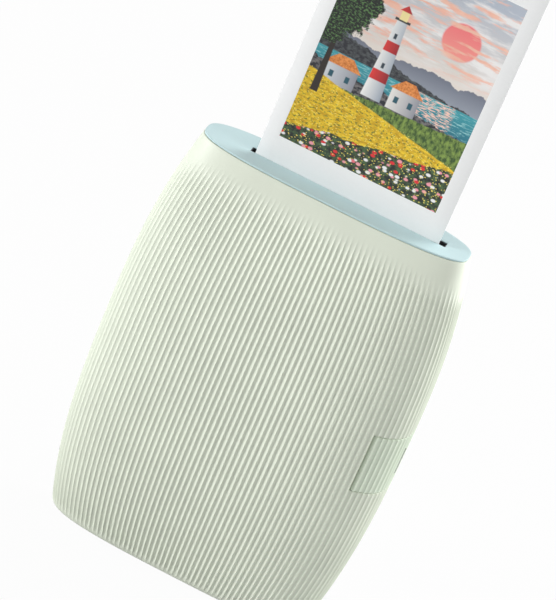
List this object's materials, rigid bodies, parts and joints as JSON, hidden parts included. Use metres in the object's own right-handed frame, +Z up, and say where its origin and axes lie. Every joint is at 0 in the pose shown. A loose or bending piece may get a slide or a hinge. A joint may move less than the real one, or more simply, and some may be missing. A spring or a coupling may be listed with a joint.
{
  "type": "compact photo printer",
  "caption": "Upright barrel-shaped instant-photo printer with ribbed casing, top print slot, rear film door, wrap-round side power button and geared roller drive.",
  "frame": {"origin": "centre of the box round the whole printer, on the surface that it stands on", "axes": "+Z up and out of the print slot, +X towards the power button, -Y towards the ribbed front, +Y towards the film door"},
  "size_m": [0.09, 0.0346, 0.2014],
  "materials": {
    "casing": "satin moulded ribs in pale sage",
    "cap": "satin pale blue",
    "button_panel": "satin, a little greener than the casing",
    "light_window": "smoked clear window, unlit",
    "print": "glossy instant print with a white border",
    "film": "glossy film edges",
    "inner_frame": "moulded grey",
    "black_plastic": "fine spark-eroded black",
    "steel": "brushed",
    "brass": "turned",
    "rubber": "fine grain",
    "gear_plastic": "natural acetal",
    "circuit_board": "solder mask",
    "battery_wrap": "shrink film",
    "flex": "amber polyimide",
    "lens": "polished"
  },
  "bodies": {
    "casing": {"front_shell": "casing", "rear_shell": "casing", "top_cap": "cap", "base_cap": "casing", "chassis": "inner_frame", "chassis_screws": "steel", "gear_motor": "steel", "battery": "battery_wrap", "main_board": "circuit_board", "exposure_head": "black_plastic", "lens_array": "lens", "head_flex": "flex", "light_flap": "rubber", "roller_bushes": "gear_plastic", "pinch_springs": "steel", "film_pack": "black_plastic", "film_stack": "film", "pack_spring": "steel", "usb_port": "steel", "usb_board": "circuit_board", "button_board": "circuit_board", "hinge_pins": "steel"},
    "door": {"film_door": "casing", "door_pressure_springs": "steel", "door_snap_hooks": "inner_frame"},
    "driven_roller": {"drive_shaft": "steel", "drive_roller": "rubber", "roller_gear": "gear_plastic"},
    "idle_roller": {"pinch_roller": "steel"},
    "upper_idler": {"upper_idler_gear": "gear_plastic"},
    "lower_idler": {"lower_idler_gear": "gear_plastic"},
    "pinion": {"motor_pinion": "brass"},
    "print": {"print_sheet": "print"},
    "button": {"power_button": "button_panel", "status_light": "light_window"},
    "claw": {"picker_claw": "steel"}
  },
  "joints": [
    {"name": "door_hinge", "type": "hinge", "parent": "casing", "child": "door", "pos_m": [0, 0.01027, 0.0095], "axis": [-1, 0, 0], "range_deg": [0, 88], "deforming": ["door_snap_hooks"]},
    {"name": "drive_turn", "type": "hinge", "parent": "casing", "child": "driven_roller", "pos_m": [0, -0.0045, 0.1175], "axis": [1, 0, 0], "range_deg": [-1602, 42]},
    {"name": "pinch_turn", "type": "hinge", "parent": "casing", "child": "idle_roller", "pos_m": [0, 0.00155, 0.1175], "axis": [1, 0, 0], "range_deg": [-50, 1930]},
    {"name": "upper_idler_turn", "type": "hinge", "parent": "casing", "child": "upper_idler", "pos_m": [0, -0.005, 0.11052], "axis": [1, 0, 0], "range_deg": [-31, 1201]},
    {"name": "lower_idler_turn", "type": "hinge", "parent": "casing", "child": "lower_idler", "pos_m": [0, -0.0077, 0.10406], "axis": [1, 0, 0], "range_deg": [-1602, 42]},
    {"name": "pinion_turn", "type": "hinge", "parent": "casing", "child": "pinion", "pos_m": [0, -0.0082, 0.09908], "axis": [1, 0, 0], "range_deg": [-61, 2401]},
    {"name": "print_feed", "type": "slide", "parent": "casing", "child": "print", "axis": [0, 0, 1], "range_m": [-0.0838, 0.0021]},
    {"name": "button_press", "type": "slide", "parent": "casing", "child": "button", "axis": [-1, 0, 0], "range_m": [0, 0.0004], "stiffness_N_per_m": 1500},
    {"name": "claw_slide", "type": "slide", "parent": "casing", "child": "claw", "axis": [0, 0, 1], "range_m": [0, 0.0155], "stiffness_N_per_m": 20}
  ],
  "couplings": [
    {"joint": "drive_turn", "follows": "print_feed", "rad_per_m": 333.33},
    {"joint": "pinch_turn", "follows": "print_feed", "rad_per_m": -400},
    {"joint": "upper_idler_turn", "follows": "print_feed", "rad_per_m": -250},
    {"joint": "lower_idler_turn", "follows": "print_feed", "rad_per_m": 333.33},
    {"joint": "pinion_turn", "follows": "print_feed", "rad_per_m": -500}
  ]
}
